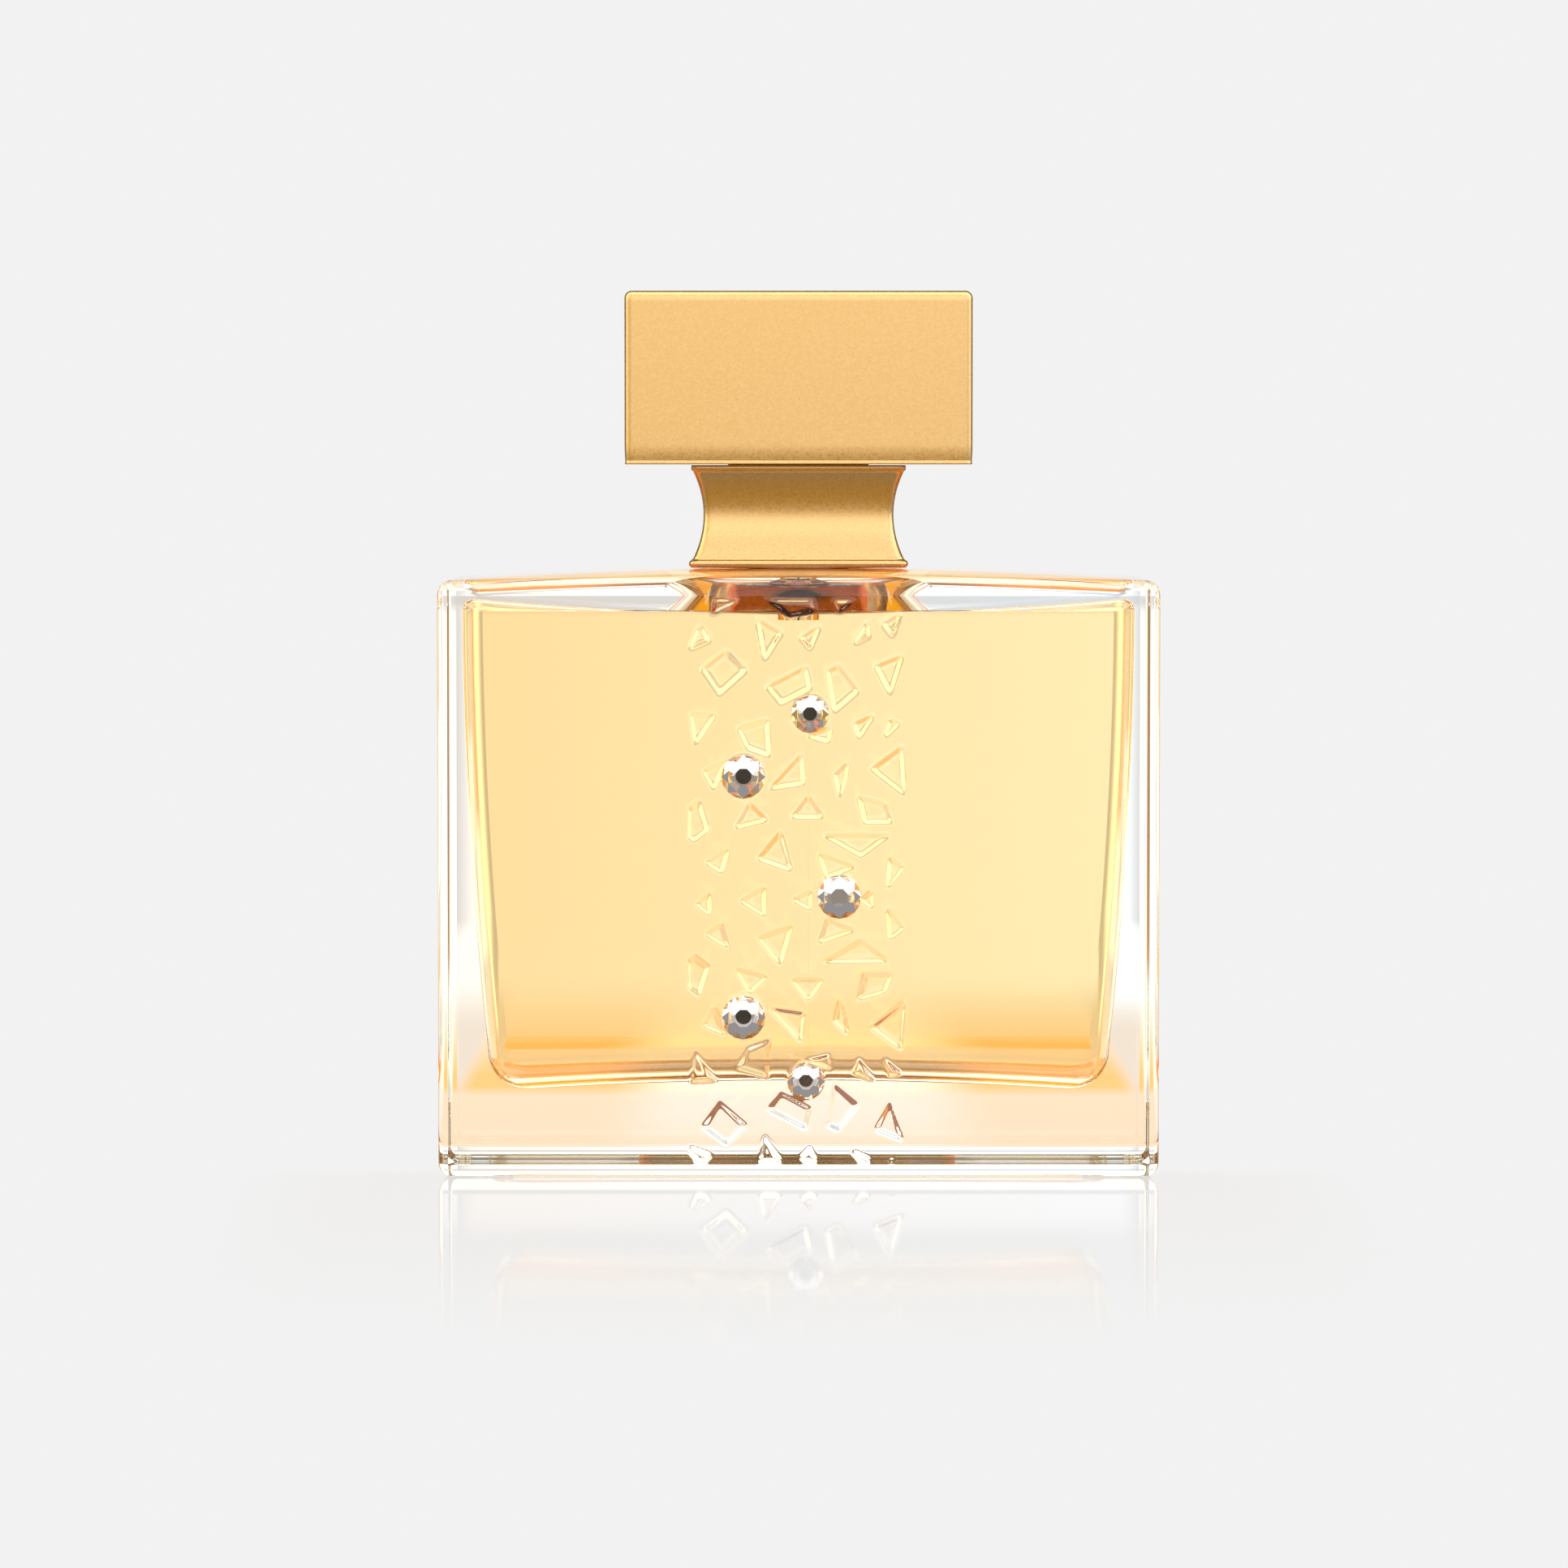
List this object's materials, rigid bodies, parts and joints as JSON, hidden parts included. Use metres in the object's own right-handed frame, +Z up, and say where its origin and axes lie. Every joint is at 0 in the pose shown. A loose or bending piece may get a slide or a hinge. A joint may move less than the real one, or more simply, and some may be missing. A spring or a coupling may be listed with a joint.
{
  "type": "perfume bottle",
  "caption": "Heavy rectangular glass perfume flacon with a raised shard relief, set crystals, a crimped spray pump, a coved gold collar and a lift-off gold block cap.",
  "frame": {"origin": "middle of the glass base, on the surface that the bottle stands on", "axes": "+Z up through the neck, +X along the long side, the decorated front faces -Y"},
  "size_m": [0.089, 0.0358, 0.1093],
  "materials": {
    "clear_glass": "clear flint glass, fire polished",
    "perfume": "clear pale amber liquid",
    "crystal": "cut and polished lead-free crystal",
    "mirror_foil": "silver mirror coat with a protective lacquer",
    "gasket_plastic": "soft polyethylene",
    "pump_plastic": "natural white polypropylene",
    "tube_plastic": "clear tube that vanishes in the liquid",
    "piston_plastic": "milky polyethylene",
    "spring_steel": "bright stainless steel",
    "seal_rubber": "dark nitrile rubber",
    "gold_aluminium": "gold anodised, satin",
    "satin_gold": "fine satin champagne-gold plating",
    "carrier_plastic": "off-white moulded plastic",
    "nozzle_plastic": "dark acetal"
  },
  "bodies": {
    "bottle": {"glass_bottle": "clear_glass", "perfume": "perfume", "crystal_1": "crystal", "crystal_2": "crystal", "crystal_3": "crystal", "crystal_4": "crystal", "crystal_5": "crystal", "crystal_foils": "mirror_foil", "neck_gasket": "gasket_plastic", "pump_housing": "pump_plastic", "dip_tube": "tube_plastic", "return_spring": "spring_steel", "stem_seal": "seal_rubber", "pump_turret": "pump_plastic", "ferrule": "gold_aluminium", "collar_insert": "carrier_plastic", "collar_shell": "satin_gold"},
    "valve": {"check_ball": "spring_steel"},
    "plunger": {"stem": "pump_plastic", "piston": "piston_plastic"},
    "actuator": {"actuator_body": "pump_plastic", "actuator_cover": "gold_aluminium", "nozzle_insert": "nozzle_plastic"},
    "cap": {"cap_shell": "satin_gold", "cap_liner": "carrier_plastic"}
  },
  "joints": [
    {"name": "cap_lift", "type": "slide", "parent": "bottle", "child": "cap", "axis": [0, 0, 1], "range_m": [0, 0.03]},
    {"name": "pump_press", "type": "slide", "parent": "bottle", "child": "plunger", "axis": [0, 0, -1], "range_m": [0, 0.0045], "stiffness_N_per_m": 600, "springref_m": -0.004, "deforming": ["return_spring"]},
    {"name": "actuator_turn", "type": "hinge", "parent": "plunger", "child": "actuator", "pos_m": [0, 0, 0.09], "axis": [0, 0, 1], "continuous": true},
    {"name": "ball_lift", "type": "slide", "parent": "bottle", "child": "valve", "axis": [0, 0, 1], "range_m": [0, 0.0006]}
  ]
}
